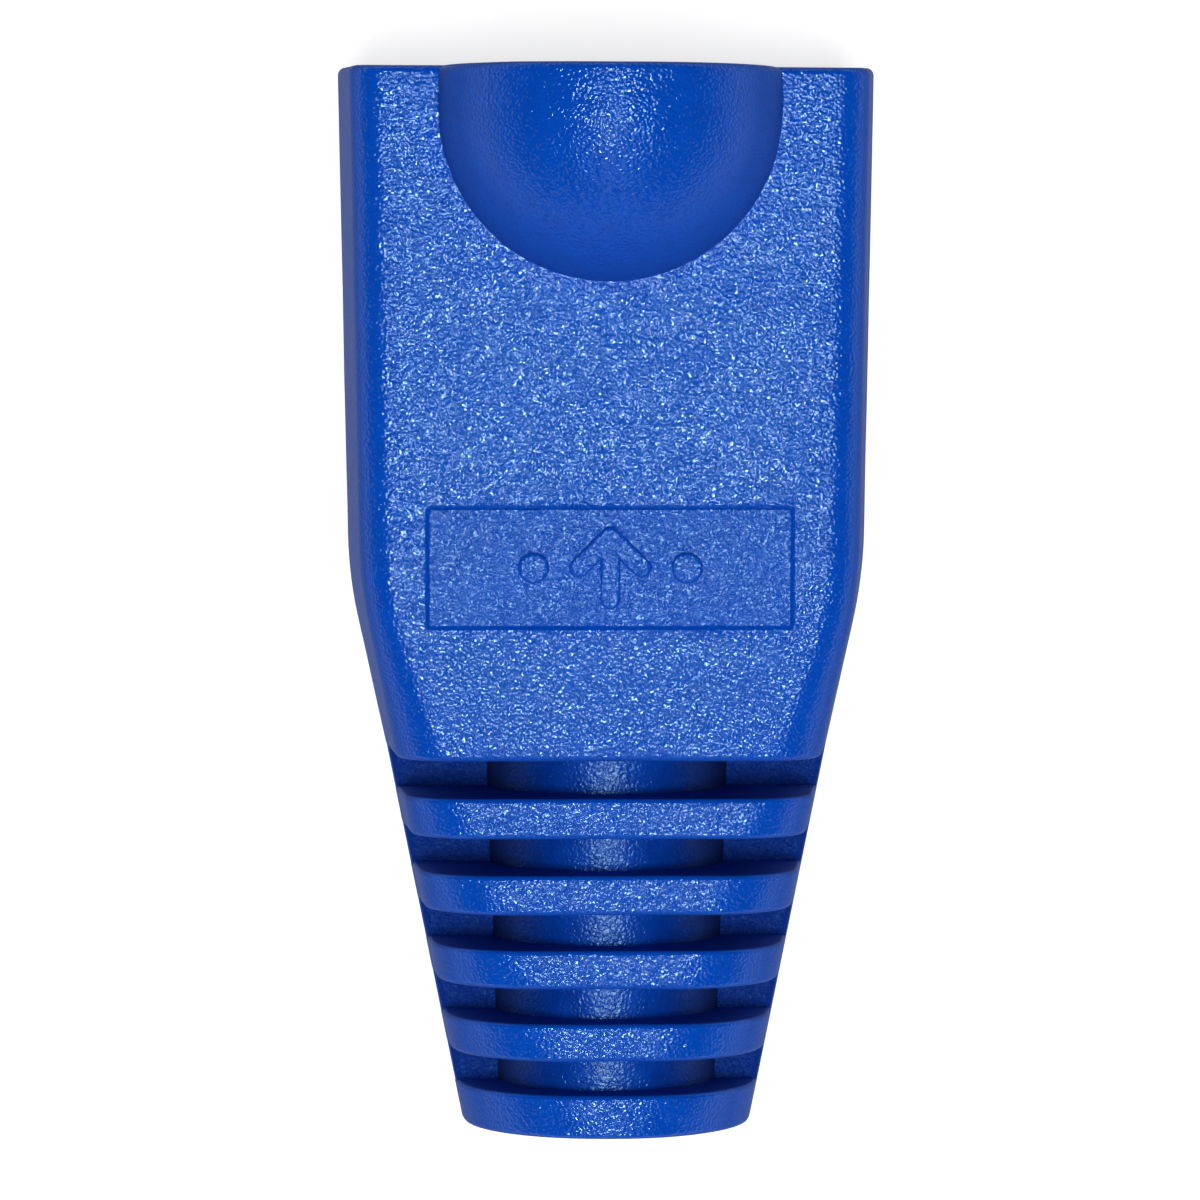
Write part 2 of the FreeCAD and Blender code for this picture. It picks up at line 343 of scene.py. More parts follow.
towards_front = unit_y.math("GREATER_THAN", unit_y, 0.0)
height_here = back_height(size, depth)
height_here = height_here + (front_height(size, depth) - height_here) * towards_front - inset
width_here = half_width(size, depth) - inset
radius_here = highest(corner_radius(size, depth) - inset, LEAST_CORNER)
lean = size["Side draft"]
centre_z = height_here - radius_here
centre_x = width_here - centre_z * tangent(lean) - radius_here / cosine(lean)
arc_turn = lean + (quarter_turn - lean) * corner_share
side_x = centre_x + radius_here * cosine(lean) - width_here
side_z = centre_z + radius_here * sine(lean)
out_x = width_here + side_x * side_share + radius_here * (cosine(arc_turn) - cosine(lean))
out_x = out_x - centre_x * face_share
out_z = side_z * side_share + radius_here * (sine(arc_turn) - sine(lean))

place = add_node(
    slice_tree,
    "ShaderNodeCombineXYZ",
    {
        "X": out_x * unit_x.math("SIGN", unit_x),
        "Y": size["Boot length"] / 2.0 - depth,
        "Z": size["Axis height"] + out_z * unit_y.math("SIGN", unit_y),
    },
)
slice_tree.links.new(place.outputs[0], slice_out.inputs["Position"])
print("slice group has", len(slice_tree.nodes), "nodes")

# %% [markdown]
# ## The body by Geometry Nodes
#
# The body is one long slice from the mouth to the first gap. Its tree is short: a cylinder of
# many rings, the slice group to place each vertex, and a material. Seventy rings give the knee
# enough steps to look smooth.

# %% Run a tree and keep its mesh
def tree_to_object(name, tree, values):
    """Runs a Geometry Nodes tree on an empty mesh and returns the result as a plain object."""
    holder = bpy.data.objects.new(name, bpy.data.meshes.new(name))
    bpy.context.scene.collection.objects.link(holder)
    modifier = holder.modifiers.new(tree.name, "NODES")
    modifier.node_group = tree
    for item in tree.interface.items_tree:
        if item.item_type == "SOCKET" and item.in_out == "INPUT" and item.name in values:
            modifier[item.identifier] = values[item.name]
    graph = bpy.context.evaluated_depsgraph_get()
    mesh = bpy.data.meshes.new_from_object(holder.evaluated_get(graph))
    holder.modifiers.remove(modifier)
    holder.data = mesh
    print(name, "has", len(mesh.polygons), "faces")
    return holder


def unit_cylinder(tree, ring_count):
    """A cylinder of radius 1 and height 1 whose vertices stand in even rings."""
    segments = add_node(
        tree,
        "FunctionNodeFloatToInt",
        {"Float": ring_count - 1.0},
    )
    return add_node(
        tree,
        "GeometryNodeMeshCylinder",
        {
            "Vertices": 4 * QUARTER_STEPS,
            "Side Segments": segments.outputs[0],
            "Radius": 1.0,
            "Depth": 1.0,
        },
        fill_type="NGON",
    ).outputs["Mesh"]


def placed_slice(tree, geometry, values):
    """Moves the vertices of unit cylinders to their places in a slice of the boot."""
    group = add_node(tree, "GeometryNodeGroup", node_tree=slice_tree)
    for name, value in values.items():
        if isinstance(value, Num):
            tree.links.new(value.socket, group.inputs[name])
        else:
            group.inputs[name].default_value = value
    moved = add_node(
        tree,
        "GeometryNodeSetPosition",
        {"Geometry": geometry, "Position": group.outputs["Position"]},
    )
    return moved.outputs["Geometry"]


def finish_tree(tree, geometry, material, group_out):
    """Ends a tree the way an exporter needs it: real geometry with its material."""
    real = add_node(tree, "GeometryNodeRealizeInstances", {"Geometry": geometry})
    painted = add_node(
        tree,
        "GeometryNodeSetMaterial",
        {"Geometry": real.outputs[0], "Material": material},
    )
    tree.links.new(painted.outputs[0], group_out.inputs["Geometry"])


# %% Placeholders for the finishes
# The five finishes are filled with nodes further down, once the shape is there to look at.
grained = bpy.data.materials.new("Grained PVC")
gap_skin = bpy.data.materials.new("PVC tube between the ribs")
bar_skin = bpy.data.materials.new("Fuzzy PVC of the side bars")
inner_skin = bpy.data.materials.new("Smooth PVC inside")
panel_skin = bpy.data.materials.new("Fine PVC in the panel")

# %% The body tree
body_inputs = [
    ("Mouth rim radius", FLOAT, MOUTH_RIM),
    ("End rim radius", FLOAT, BODY_END_RIM),
    ("Rings", FLOAT, 70.0),
    ("Material", MATERIAL, None),
]
body_tree, body_in, body_out = new_tree(
    "Boot body", "GeometryNodeTree", body_inputs, [("Geometry", GEOMETRY)]
)
body_rings = Num(body_tree, body_in["Rings"])
body_slice = placed_slice(
    body_tree,
    unit_cylinder(body_tree, body_rings),
    {
        "Start depth": 0.0,
        "Length": outline_sizes["Body end"],
        "Start rim radius": Num(body_tree, body_in["Mouth rim radius"]),
        "End rim radius": Num(body_tree, body_in["End rim radius"]),
        "Ring count": body_rings,
    },
)
finish_tree(body_tree, body_slice, body_in["Material"], body_out)
boot = tree_to_object("strain_relief_boot_skin", body_tree, {"Material": grained})

# %% [markdown]
# ## The ribs
#
# Five ribs repeat along the tail, so they are instances: one point for each rib, one cylinder on
# each point. Before they are made real, each point stores its own number. After that the number
# travels with the vertices, and the slice group can give every rib its own depth and size. Gaps
# and ribs shrink towards the end by one ratio, so the sums are those of a geometric series.

# %% The rib tree
rib_inputs = [
    ("Rib count", INTEGER, RIB_COUNT),
    ("Body end", FLOAT, outline_sizes["Body end"]),
    ("First gap", FLOAT, FIRST_GAP),
    ("First rib", FLOAT, FIRST_RIB),
    ("Last rib", FLOAT, LAST_RIB),
    ("Shrink", FLOAT, RIB_SHRINK),
    ("Rim radius", FLOAT, RIM_RADIUS),
    ("Rings", FLOAT, 12.0),
    ("Material", MATERIAL, None),
]
rib_tree, rib_in, rib_out = new_tree(
    "Boot ribs", "GeometryNodeTree", rib_inputs, [("Geometry", GEOMETRY)]
)
rib_size = {name: Num(rib_tree, rib_in[name]) for name, kind, _ in rib_inputs if kind != MATERIAL}
points = add_node(rib_tree, "GeometryNodePoints", {"Count": rib_in["Rib count"]})
index = add_node(rib_tree, "GeometryNodeInputIndex").outputs[0]
numbered = add_node(
    rib_tree,
    "GeometryNodeStoreNamedAttribute",
    {"Geometry": points.outputs[0], "Name": "rib_number", "Value": index},
    data_type="FLOAT",
    domain="POINT",
)
copies = add_node(
    rib_tree,
    "GeometryNodeInstanceOnPoints",
    {"Points": numbered.outputs[0], "Instance": unit_cylinder(rib_tree, rib_size["Rings"])},
)
real_copies = add_node(rib_tree, "GeometryNodeRealizeInstances", {"Geometry": copies.outputs[0]})
number_node = add_node(
    rib_tree, "GeometryNodeInputNamedAttribute", {"Name": "rib_number"}, data_type="FLOAT"
)
number = Num(rib_tree, number_node.outputs["Attribute"])
shrink = rib_size["Shrink"]
shrunk = shrink.math("POWER", shrink, number)
series = (1.0 - shrunk) / (1.0 - shrink)
is_last = number.math("GREATER_THAN", number, rib_size["Rib count"] - 1.5)
rib_start = rib_size["Body end"] + (rib_size["First gap"] + rib_size["First rib"]) * series
rib_start = rib_start + rib_size["First gap"] * shrunk
plain_length = rib_size["First rib"] * shrunk
rib_length = plain_length + (rib_size["Last rib"] - plain_length) * is_last
rib_slices = placed_slice(
    rib_tree,
    real_copies.outputs[0],
    {
        "Start depth": rib_start,
        "Length": rib_length,
        "Start rim radius": rib_size["Rim radius"],
        "End rim radius": rib_size["Rim radius"],
        "Ring count": rib_size["Rings"],
    },
)
finish_tree(rib_tree, rib_slices, rib_in["Material"], rib_out)
ribs = tree_to_object("ribs", rib_tree, {"Material": grained})

# %% [markdown]
# ## Pieces made in mesh code
#
# The dome, the tube about the bore and the flat side bars are single closed forms, and so are
# the rooms inside. Two helpers are enough: one joins rings of points into a skin with closed
# ends, the other turns an outline about the cable's direction.

# %% Mesh helpers
def mesh_object(name, points, faces, material):
    mesh = bpy.data.meshes.new(name)
    mesh.from_pydata(points, [], faces)
    mesh.materials.append(material)
    mesh.validate()
    piece = bpy.data.objects.new(name, mesh)
    bpy.context.scene.collection.objects.link(piece)
    return piece


def skin_of_rings(name, rings, material, closed_path=False):
    """Joins rings of equal length with quads. Open paths get a flat face at each end."""
    count = len(rings[0])
    points = [point for ring_points in rings for point in ring_points]
    faces = []
    last = len(rings) if closed_path else len(rings) - 1
    for row in range(last):
        here = row * count
        there = (row + 1) % len(rings) * count
        for column in range(count):
            beside = (column + 1) % count
            faces.append((here + column, here + beside, there + beside, there + column))
    if not closed_path:
        faces.append(tuple(reversed(range(count))))
        end = (len(rings) - 1) * count
        faces.append(tuple(range(end, end + count)))
    return outward(mesh_object(name, points, faces, material))


def outward(piece):
    """Merges doubled points and turns every face outwards."""
    edit = bmesh.new()
    edit.from_mesh(piece.data)
    bmesh.ops.remove_doubles(edit, verts=edit.verts, dist=1.0e-5)
    bmesh.ops.recalc_face_normals(edit, faces=edit.faces)
    edit.to_mesh(piece.data)
    edit.free()
    return piece


def place_at(x, depth, height):
    """A point across the boot, along it from the mouth, and from the cable axis."""
    return Vector((x, boot_length / 2.0 - depth, axis_height + height))


TURN_STEPS = 96


def turned(name, outline, centre_height, material):
    """Turns an outline of (depth, radius) points about a line along the boot."""
    rings = []
    for depth, radius in outline:
        row = []
        for turn_step in range(TURN_STEPS):
            turn = 2.0 * math.pi * turn_step / TURN_STEPS
            x = radius * math.cos(turn)
            row.append(place_at(x, depth, centre_height + radius * math.sin(turn)))
        rings.append(row)
    return skin_of_rings(name, rings, material)


def rounded_ring(depth, half_x, half_z, radius, steps=8):
    """A cross section with square sides and round corners, centred on the cable axis."""
    ring_points = []
    for side_x, side_z, first_turn in ((1, 1, 0), (-1, 1, 1), (-1, -1, 2), (1, -1, 3)):
        for corner_step in range(steps + 1):
            turn = (first_turn + corner_step / steps) * quarter_turn
            x = side_x * (half_x - radius) + radius * math.cos(turn)
            z = side_z * (half_z - radius) + radius * math.sin(turn)
            ring_points.append(place_at(x, depth, z))
    return ring_points


# %% [markdown]
# ## The dome
#
# The latch cover is a round bar with a ball end, sunk a little into the front face, so that its
# foot meets the face in the sharp crease a mould gives. Its outline is a quarter circle, a short
# straight stretch and a small round at the mouth.

# %% Dome
DOME_RADIUS = 4.34
DOME_STRAIGHT = 1.2
DOME_SINK = 0.15
DOME_WALL = 1.0
dome_height = outline_sizes["Mouth front height"] - DOME_SINK


def arc_outline(centre_depth, centre_radius, radius, first_turn, last_turn, steps):
    """Points on an arc in the plane of depth and radius."""
    arc = []
    for arc_step in range(steps + 1):
        turn = first_turn + (last_turn - first_turn) * arc_step / steps
        depth = centre_depth + radius * math.sin(turn)
        arc.append((depth, centre_radius + radius * math.cos(turn)))
    return arc


POLE = 0.02
NEAR_POLE = 0.995 * quarter_turn
RIM_ARC_STEPS = 5
DOME_ARC_STEPS = 32
LATCH_ARC_STEPS = 24
dome_outline = [(0.0, POLE)]
dome_outline += arc_outline(
    MOUTH_RIM, DOME_RADIUS - MOUTH_RIM, MOUTH_RIM, -quarter_turn, 0.0, RIM_ARC_STEPS
)
dome_outline += [(DOME_STRAIGHT * step / 4.0, DOME_RADIUS) for step in (1, 2, 3)]
dome_outline += arc_outline(DOME_STRAIGHT, 0.0, DOME_RADIUS, 0.0, NEAR_POLE, DOME_ARC_STEPS)
dome = turned("dome", dome_outline, dome_height, grained)
print("dome top, mm above the back:", round(axis_height + dome_height + DOME_RADIUS, 2))

# %% [markdown]
# ## Between the ribs
#
# In each gap the mould leaves two things: a round tube about the bore, which keeps the cable
# covered, and a flat bar on each side, which ties the ribs together. Both bars are the ends of
# one spine that runs through the tube. Its outer edges are round and lie a hair inside the ribs.

# %% Tube and spines
TUBE_START_RADIUS = 3.24
TUBE_END_RADIUS = 2.88
SPINE_THICKNESS = 1.2
SPINE_INSET = 0.025
SPINE_EDGE = 0.25
TUBE_BURIED = 0.9
SPINE_BURIED = 0.2
LAST_RIB_MIDDLE = 0.57
core_start = outline_sizes["Body end"] - TUBE_BURIED
core_end = boot_length - LAST_RIB_MIDDLE
tube_outline = [(core_start, TUBE_START_RADIUS), (core_end, TUBE_END_RADIUS)]
tube = turned("tube", tube_outline, 0.0, gap_skin)
spine_rings = []
for depth in (outline_sizes["Body end"] - SPINE_BURIED, core_end):
    spine_half = half_width(outline_sizes, depth) - SPINE_INSET
    spine_rings.append(rounded_ring(depth, spine_half, SPINE_THICKNESS / 2.0, SPINE_EDGE))
spines = skin_of_rings("spines", spine_rings, bar_skin)

# %% [markdown]
# ## The rooms inside
#
# The plug's room, the funnel, the bore and the latch room are modelled as solids and taken out
# of the boot afterwards. That is how the mould does it too: a steel core of this shape stands
# inside it. Each core leaves its own smooth finish on the faces that it cuts.

# %% Cores
PLUG_HALF_WIDTH = 5.9
PLUG_HALF_HEIGHT = 4.15
PLUG_CORNER = 0.4
PLUG_SEAT = 12.0
PLUG_SHOULDER = 0.7
FUNNEL_CORNER = 1.6
FUNNEL_END = 17.0
LEAD_IN = 0.25
TAIL_LEAD_IN = 0.2
OVERRUN = 1.0
FUNNEL_STEPS = 8

room_rings = [
    rounded_ring(-OVERRUN, PLUG_HALF_WIDTH + LEAD_IN, PLUG_HALF_HEIGHT + LEAD_IN, PLUG_CORNER),
    rounded_ring(0.0, PLUG_HALF_WIDTH + LEAD_IN, PLUG_HALF_HEIGHT + LEAD_IN, PLUG_CORNER),
    rounded_ring(LEAD_IN, PLUG_HALF_WIDTH, PLUG_HALF_HEIGHT, PLUG_CORNER),
    rounded_ring(PLUG_SEAT, PLUG_HALF_WIDTH, PLUG_HALF_HEIGHT, PLUG_CORNER),
]
shoulder_x = PLUG_HALF_WIDTH - PLUG_SHOULDER
shoulder_z = PLUG_HALF_HEIGHT - PLUG_SHOULDER
room_rings.append(rounded_ring(PLUG_SEAT, shoulder_x, shoulder_z, FUNNEL_CORNER))
for funnel_step in range(1, FUNNEL_STEPS + 1):
    share = funnel_step / FUNNEL_STEPS
    room_rings.append(
        rounded_ring(
            PLUG_SEAT + (FUNNEL_END - PLUG_SEAT) * share,
            shoulder_x + (bore_radius - shoulder_x) * share,
            shoulder_z + (bore_radius - shoulder_z) * share,
            FUNNEL_CORNER + (bore_radius - FUNNEL_CORNER) * share,
        )
    )
tail_flare = boot_length - TAIL_LEAD_IN
room_rings.append(rounded_ring(tail_flare, bore_radius, bore_radius, bore_radius))
flare_radius = bore_radius + TAIL_LEAD_IN
room_rings.append(rounded_ring(boot_length, flare_radius, flare_radius, flare_radius))
room_rings.append(rounded_ring(boot_length + OVERRUN, flare_radius, flare_radius, flare_radius))
plug_core = skin_of_rings("plug_core", room_rings, inner_skin)

latch_radius = DOME_RADIUS - DOME_WALL
latch_outline = [(-OVERRUN, latch_radius + LEAD_IN), (0.0, latch_radius + LEAD_IN)]
latch_outline += [(LEAD_IN, latch_radius)]
latch_outline += arc_outline(DOME_STRAIGHT, 0.0, latch_radius, 0.0, NEAR_POLE, LATCH_ARC_STEPS)
latch_core = turned("latch_core", latch_outline, dome_height, inner_skin)

# %% [markdown]
# ## The panel line and the raised mark
#
# Where the mould holds a changeable insert, its edge leaves a fine groove round a panel. The
# groove's outer wall slopes and its inner wall is steep. Inside stands a plain raised arrow that
# points at the plug, with a dot on each side. Both follow the front face over the knee.

# %% Groove
PANEL_WIDTH = 9.38
PANEL_LENGTH = 3.19
PANEL_START = 11.2
PANEL_CORNER = 0.15
GROOVE_WIDTH = 0.12
GROOVE_DEPTH = 0.08
CUT_ABOVE = 0.3
PANEL_CORNER_STEPS = 4
PANEL_SIDE_STEPS = 12
panel_middle = PANEL_START + PANEL_LENGTH / 2.0


def on_front(x, depth, lift):
    """A point above or below the front face at a place on it."""
    return place_at(x, depth, front_height(outline_sizes, depth) + lift)


def panel_path(outset):
    """Points round the panel, with more along its sides so that they can follow the knee."""
    radius = PANEL_CORNER + outset
    half_x = PANEL_WIDTH / 2.0 + outset - radius
    half_y = PANEL_LENGTH / 2.0 + outset - radius
    path = []
    for side_x, side_y, first_turn in ((1, 1, 0), (-1, 1, 1), (-1, -1, 2), (1, -1, 3)):
        for corner_step in range(PANEL_CORNER_STEPS + 1):
            turn = (first_turn + corner_step / PANEL_CORNER_STEPS) * quarter_turn
            x = side_x * half_x + radius * math.cos(turn)
            path.append((x, panel_middle + side_y * half_y + radius * math.sin(turn)))
        if side_x == -1 * side_y:
            for side_step in range(1, PANEL_SIDE_STEPS):
                y = side_y * half_y * (1.0 - 2.0 * side_step / PANEL_SIDE_STEPS)
                path.append((side_x * (half_x + radius), panel_middle + y))
    return path


def groove_ring(outer, inner):
    """One cross section of the groove: a slope outside, a steep wall inside, open above."""
    return [
        on_front(*outer, CUT_ABOVE),
        on_front(*outer, 0.0),
        on_front(*inner, -GROOVE_DEPTH),
        on_front(*inner, CUT_ABOVE),
    ]


outer_path = panel_path(0.0)
inner_path = panel_path(-GROOVE_WIDTH)
groove_rings = [groove_ring(outer, inner) for outer, inner in zip(outer_path, inner_path)]
groove = skin_of_rings("groove_cutter", groove_rings, grained, closed_path=True)

# %% Raised mark
MARK_HEIGHT = 0.12
MARK_STROKE = 0.5
ARROW_LENGTH = 2.1
ARROW_REACH = 0.8
DOT_SPACING = 1.95
DOT_DIAMETER = 0.8
DOT_POINTS = 36
# Each pair is a height over the front face and how far the outline has stepped in there.
MARK_RINGS = ((-0.15, 0.0), (0.04, 0.0), (0.085, 0.02), (0.11, 0.055), (MARK_HEIGHT, 0.11))
ARROW_TIP = panel_middle - ARROW_LENGTH / 2.0 + MARK_STROKE / 2.0
ARROW_FOOT = panel_middle + ARROW_LENGTH / 2.0 - MARK_STROKE / 2.0
ARC_POINTS = 12


def cap_points(x, depth, radius, first_turn, last_turn):
    """Points on an arc that rounds an end or a corner of the arrow."""
    cap = []
    for cap_step in range(ARC_POINTS + 1):
        turn = first_turn + (last_turn - first_turn) * cap_step / ARC_POINTS
        cap.append((x + radius * math.sin(turn), depth - radius * math.cos(turn)))
    return cap


def arrow_outline(half_stroke):
    """An arrow of even strokes with round ends, from its tip round by the right side."""
    eighth = math.pi / 4.0
    barb_depth = ARROW_TIP + ARROW_REACH
    joint = (half_stroke, ARROW_TIP + half_stroke * (1.0 + math.sqrt(2.0)))
    right = cap_points(0.0, ARROW_TIP, half_stroke, 0.0, eighth)
    right += cap_points(ARROW_REACH, barb_depth, half_stroke, eighth, 5.0 * eighth)
    right += [joint] + cap_points(0.0, ARROW_FOOT, half_stroke, 2.0 * eighth, 4.0 * eighth)
    left = [(-x, depth) for x, depth in reversed(right[1:-1])]
    return right + left


def dot_outline(side, radius):
    """A round dot beside the arrow."""
    turns = [2.0 * math.pi * dot_step / DOT_POINTS for dot_step in range(DOT_POINTS)]
    x = side * DOT_SPACING
    return [(x + radius * math.cos(t), panel_middle + radius * math.sin(t)) for t in turns]


def raised(name, outline_at):
    """A raised form with a soft top edge: rings that step in as they rise."""
    rings = []
    for lift, step_in in MARK_RINGS:
        rings.append([on_front(x, depth, lift) for x, depth in outline_at(step_in)])
    return skin_of_rings(name, rings, panel_skin)


marks = [raised("arrow", lambda step_in: arrow_outline(MARK_STROKE / 2.0 - step_in))]
marks += [raised("dot_left", lambda step_in: dot_outline(-1.0, DOT_DIAMETER / 2.0 - step_in))]
marks += [raised("dot_right", lambda step_in: dot_outline(1.0, DOT_DIAMETER / 2.0 - step_in))]
print("marks", [mark.name for mark in marks])

# %% [markdown]
# ## Joining and cutting
#
# A moulding has no inner walls, so the overlapping forms are made one skin with Boolean
# modifiers. The exact solver is slow but keeps thin places whole. "Transfer" keeps the material
# of each cutter on the faces that it leaves.

# %% Boolean steps
def gather(name, pieces):
    group = bpy.data.collections.new(name)
    for piece in pieces:
        group.objects.link(piece)
    return group


def combine(base, operation, pieces):
    """Adds pieces to the base, or takes them out, and keeps a plain mesh."""
    group = gather(operation.lower() + "_tools", pieces)
    modifier = base.modifiers.new(operation, "BOOLEAN")
    modifier.operation = operation
    modifier.operand_type = "COLLECTION"
    modifier.collection = group
    modifier.solver = "EXACT"
    modifier.use_self = False
    modifier.material_mode = "TRANSFER"
    graph = bpy.context.evaluated_depsgraph_get()
    mesh = bpy.data.meshes.new_from_object(base.evaluated_get(graph))
    base.modifiers.remove(modifier)
    base.data = mesh
    bpy.data.collections.remove(group)
    for piece in pieces:
        bpy.data.objects.remove(piece)
    print(operation, "leaves", len(mesh.polygons), "faces")


combine(boot, "UNION", [ribs, tube, spines, dome] + marks)
combine(boot, "DIFFERENCE", [groove, plug_core, latch_core])

# %% Check that the skin is closed
check = bmesh.new()
check.from_mesh(boot.data)
open_edges = sum(1 for edge in check.edges if len(edge.link_faces) != 2)
print("edges without exactly two faces:", open_edges, "volume mm3:", round(check.calc_volume(), 1))
check.free()

# %% [markdown]
# ## Tidy normals, soft waviness and real size
#
# Large flat faces meet tight rounds here. Plain smooth shading would let the flat faces look
# dented, so a Weighted Normal modifier gives the large faces their own direction, and edges
# sharper than thirty-two degrees stay sharp. A real soft moulding is never quite straight, so a
# small Geometry Nodes tree first moves each vertex by a slow noise of a few hundredths of a
# millimetre, and leans the front of the mouth back by a tenth. Every vertex stays inside the
# box of the solid. Last, the mesh is scaled to metres.

# %% Waviness tree
wave_inputs = [
    ("Geometry", GEOMETRY, None),
    ("Amount", FLOAT, 0.03),
    ("Waves per mm", FLOAT, 0.35),
    ("Shift", VECTOR, (3.1, 7.7, 1.3)),
    ("Mouth lean", FLOAT, 0.12),
    ("Mouth skew", FLOAT, 0.035),
    ("Mouth reach", FLOAT, 3.0),
    ("Lowest", VECTOR, tuple(low / MM for low in cad_box[0])),
    ("Highest", VECTOR, tuple(high / MM for high in cad_box[1])),
]
wave_tree, wave_in, wave_out = new_tree(
    "Moulding waviness", "GeometryNodeTree", wave_inputs, [("Geometry", GEOMETRY)]
)
where = add_node(wave_tree, "GeometryNodeInputPosition").outputs[0]


def vector_math(tree, operation, first, second):
    """A Vector Math node on two vectors, or a vector and a scale."""
    name = "Scale" if operation == "SCALE" else 1
    node = add_node(tree, "ShaderNodeVectorMath", {0: first, name: second}, operation=operation)
    return node.outputs[0]


shifted = vector_math(wave_tree, "ADD", where, wave_in["Shift"])
noise = add_node(
    wave_tree,
    "ShaderNodeTexNoise",
    {"Vector": shifted, "Scale": wave_in["Waves per mm"], "Detail": 1.0},
)
centred = vector_math(wave_tree, "SUBTRACT", noise.outputs["Color"], (0.5, 0.5, 0.5))
scaled = vector_math(wave_tree, "SCALE", centred, wave_in["Amount"])
# The mouth was cut a little out of square: its front edge leans back, more on the right.
place = add_node(wave_tree, "ShaderNodeSeparateXYZ", {0: where})
mouth_reach = Num(wave_tree, wave_in["Mouth reach"])
from_mouth = boot_length / 2.0 - Num(wave_tree, place.outputs["Y"])
near_mouth = clamped(1.0 - from_mouth / mouth_reach)
over_axis = Num(wave_tree, place.outputs["Z"]) - axis_height
high_up = clamped(over_axis / outline_sizes["Mouth front height"])
across = Num(wave_tree, place.outputs["X"]) / (outline_sizes["Mouth width"] / 2.0)
lean_back = Num(wave_tree, wave_in["Mouth lean"]) + Num(wave_tree, wave_in["Mouth skew"]) * across
pull = near_mouth * high_up * lean_back * -1.0
pulled = add_node(wave_tree, "ShaderNodeCombineXYZ", {"Y": pull})
rippled = vector_math(wave_tree, "ADD", where, scaled)
moved = vector_math(wave_tree, "ADD", rippled, pulled.outputs[0])
above_low = vector_math(wave_tree, "MAXIMUM", moved, wave_in["Lowest"])
inside = vector_math(wave_tree, "MINIMUM", above_low, wave_in["Highest"])
waved = add_node(
    wave_tree,
    "GeometryNodeSetPosition",
    {"Geometry": wave_in["Geometry"], "Position": inside},
)
wave_tree.links.new(waved.outputs[0], wave_out.inputs["Geometry"])

# %% Smooth shading with flat faces kept flat
SHARP_FROM_DEGREES = 32.0
boot.data.polygons.foreach_set("use_smooth", [True] * len(boot.data.polygons))
boot.data.set_sharp_from_angle(angle=math.radians(SHARP_FROM_DEGREES))
wave_modifier = boot.modifiers.new("Waviness", "NODES")
wave_modifier.node_group = wave_tree
weighted = boot.modifiers.new("Flat faces stay flat", "WEIGHTED_NORMAL")
weighted.mode = "FACE_AREA"
weighted.weight = 60
weighted.keep_sharp = True
graph = bpy.context.evaluated_depsgraph_get()
finished = bpy.data.meshes.new_from_object(boot.evaluated_get(graph))
boot.modifiers.clear()
boot.data = finished
print("vertices", len(finished.vertices), "faces", len(finished.polygons))

# %% [markdown]
# ## Which finish goes where
#
# The Booleans kept the material of each form on its faces. Two more rules are needed: faces
# inside the panel line take the finer finish of the insert, and the outer faces of the side
# bars, which the mould's smooth parting faces make, take the smooth one.

# %% Finishes by place
PANEL_FACE_LIFT = 0.3
FLAT_FROM = 0.5
RIM_POLISHED = 0.03
RIM_FADE = 0.09
rib_edges = []
edge_depth = outline_sizes["Body end"]
for rib_index in range(RIB_COUNT):
    rib_start_depth = edge_depth + FIRST_GAP * RIB_SHRINK ** rib_index
    edge_depth = rib_start_depth + FIRST_RIB * RIB_SHRINK ** rib_index
    rib_edges += [rib_start_depth, edge_depth]
rib_edges[-1] = boot_length
rims = [0.0, outline_sizes["Body end"]] + rib_edges


def depth_of(point):
    return boot_length / 2.0 - point.y


def in_panel(point):
    across = abs(point.x) < PANEL_WIDTH / 2.0 - GROOVE_WIDTH
    along = abs(depth_of(point) - panel_middle) < PANEL_LENGTH / 2.0 - GROOVE_WIDTH
    lift = point.z - axis_height - front_height(outline_sizes, depth_of(point))
    return across and along and abs(lift) < PANEL_FACE_LIFT


finishes = [grained, gap_skin, panel_skin, inner_skin, bar_skin]
GRAINED, _, PANEL, INNER, BARS = range(len(finishes))
used = [material.name if material else grained.name for material in boot.data.materials]
names = [material.name for material in finishes]
choices = []
for face in boot.data.polygons:
    choice = names.index(used[face.material_index])
    if choice == GRAINED and in_panel(face.center):
        choice = PANEL
    if choice == BARS and abs(face.normal.z) < FLAT_FROM:
        choice = INNER
    choices.append(choice)
boot.data.materials.clear()
for material in finishes:
    boot.data.materials.append(material)
boot.data.polygons.foreach_set("material_index", choices)

# The mould's tight rounds are polished by the cutter, so the grain fades out on every rim.
grain_amount = boot.data.attributes.new("grain_amount", "FLOAT", "POINT")
amounts = []
for vertex in boot.data.vertices:
    nearest = min(abs(depth_of(vertex.co) - rim) for rim in rims)
    amounts.append(clamped((nearest - RIM_POLISHED) / RIM_FADE))
grain_amount.data.foreach_set("value", amounts)
for row, material in enumerate(finishes):
    print(material.name, "is on", choices.count(row), "faces")

# %% To metres
boot.data.transform(Matrix.Scale(MM, 4))
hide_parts("strain_relief_boot")
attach(boot, "root")
print("boot size, mm:", [round(side / MM, 3) for side in boot.dimensions])

# %% [markdown]
# ## Moulded grain
#
# The mould is spark eroded, which leaves fine worm-like ridges less than a tenth of a millimetre
# apart. A shader node group makes their height from two noises. The finishes share the group and
# give it their own ridge size, so the panel can be finer than the face. It reads Object
# coordinates, so the grain stays put on the part and has its true size. The noise is built on a
# square lattice, and a flat face that lies along it would show bands of strong and weak grain,
# so the coordinates are turned aslant first.

